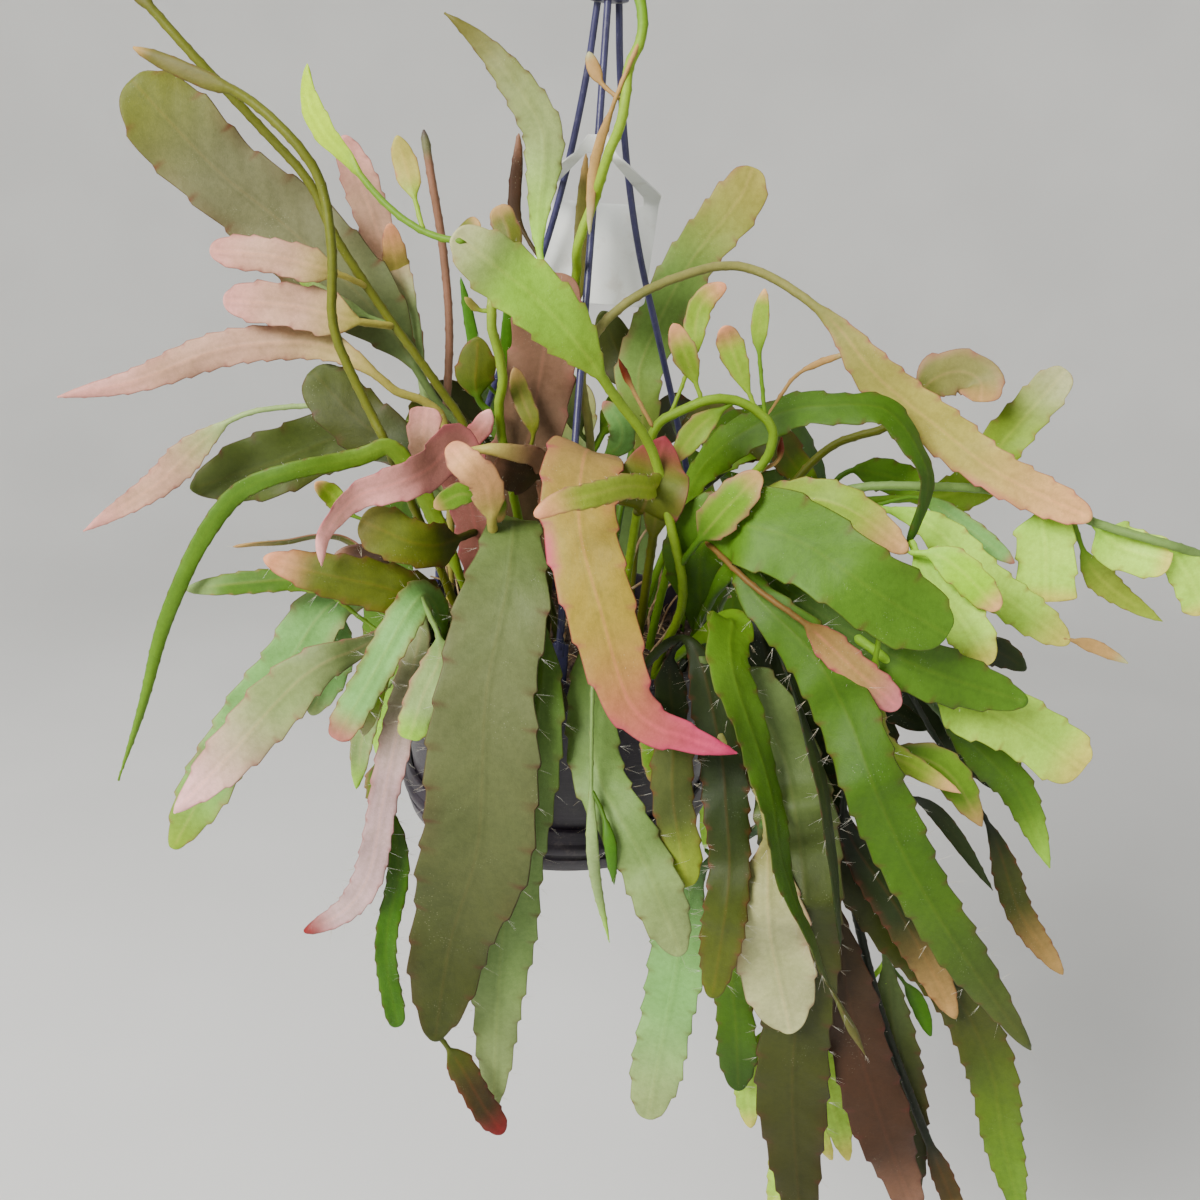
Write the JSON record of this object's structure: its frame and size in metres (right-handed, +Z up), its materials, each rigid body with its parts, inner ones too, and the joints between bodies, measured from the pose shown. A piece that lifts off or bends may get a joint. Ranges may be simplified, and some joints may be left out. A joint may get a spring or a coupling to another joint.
{
  "type": "potted cactus",
  "caption": "Red coral cactus: flat strap-like stems on round necks arch up and trail over a hanging pot with a clip-on saucer, a hanger of strands that meet at a hook, and a bare care tag.",
  "frame": {"origin": "the hook's bearing point: the inside top of the hook, where a rail or ceiling hook carries it", "axes": "+Z up along the pot's axis, -Y the side that the picture shows, +X to that viewer's right"},
  "size_m": [0.528, 0.2961, 0.583],
  "materials": {
    "pot_plastic": "satin",
    "hanger_plastic": "satin",
    "potting_soil": "matte",
    "tag_plastic": "satin",
    "stem_arch_green": "satin",
    "stem_blush": "satin",
    "stem_blush_mint": "satin",
    "stem_bow_pink": "satin",
    "stem_butter_pink": "satin",
    "stem_fold_green": "satin",
    "stem_glaucous": "satin",
    "stem_glow_pink": "satin",
    "stem_green": "satin",
    "stem_green_deep": "satin",
    "stem_green_orange": "satin",
    "stem_green_pink": "satin",
    "stem_hang_dark": "satin",
    "stem_lime_green": "satin",
    "stem_lime_pink": "satin",
    "stem_lime_tan": "satin",
    "stem_low_green": "satin",
    "stem_mauve_brown": "satin",
    "stem_mauve_pink": "satin",
    "stem_mint": "satin",
    "stem_mint_pink_tip": "satin",
    "stem_olive_deep": "satin",
    "stem_olive_green": "satin",
    "stem_olive_tan": "satin",
    "stem_pale_blush": "satin",
    "stem_pale_olive": "satin",
    "stem_rose": "satin",
    "stem_silver_green": "satin",
    "stem_teal_wand": "satin",
    "stem_yellow_green": "satin"
  },
  "bodies": {
    "root": {"pot": "pot_plastic", "saucer": "pot_plastic", "soil": "potting_soil", "hanger_hook": "hanger_plastic", "hanger_strand_front": "hanger_plastic", "hanger_strand_left": "hanger_plastic", "hanger_strand_right": "hanger_plastic", "care_tag": "tag_plastic", "stem_back_01": "stem_green_deep", "stem_back_02": "stem_lime_green", "stem_back_03": "stem_olive_green", "stem_back_04": "stem_mint", "stem_back_05": "stem_pale_olive", "stem_back_06": "stem_green_pink", "stem_back_07": "stem_green_deep", "stem_back_08": "stem_lime_green", "stem_big_green": "stem_glaucous", "stem_big_mauve": "stem_mauve_brown", "stem_blush_long": "stem_blush", "stem_blush_up": "stem_blush_mint", "stem_bright_arch": "stem_arch_green", "stem_bright_fold": "stem_fold_green", "stem_dark_arch": "stem_green_deep", "stem_far_wand": "stem_olive_tan", "stem_folded_pink": "stem_mint_pink_tip", "stem_giant_olive": "stem_olive_deep", "stem_great_pale": "stem_silver_green", "stem_green_hang": "stem_hang_dark", "stem_green_top": "stem_green", "stem_grey_pink_up": "stem_blush_mint", "stem_long_arch": "stem_butter_pink", "stem_loop_stem": "stem_green", "stem_mauve_leaf_1": "stem_mauve_pink", "stem_mint_fall": "stem_mint", "stem_mint_low_left": "stem_glow_pink", "stem_olive_low": "stem_low_green", "stem_orange_leaf": "stem_green_orange", "stem_pale_behind": "stem_mint", "stem_pale_ribbon": "stem_blush_mint", "stem_pink_bow": "stem_bow_pink", "stem_pink_curl": "stem_rose", "stem_second_green": "stem_glaucous", "stem_teal_wand": "stem_teal_wand", "stem_thin_wand": "stem_olive_tan", "stem_upper_right": "stem_pale_blush", "stem_upright_right": "stem_lime_tan", "stem_vertical_stem": "stem_yellow_green", "stem_yellow_pink_side": "stem_lime_pink"}
  },
  "joints": []
}
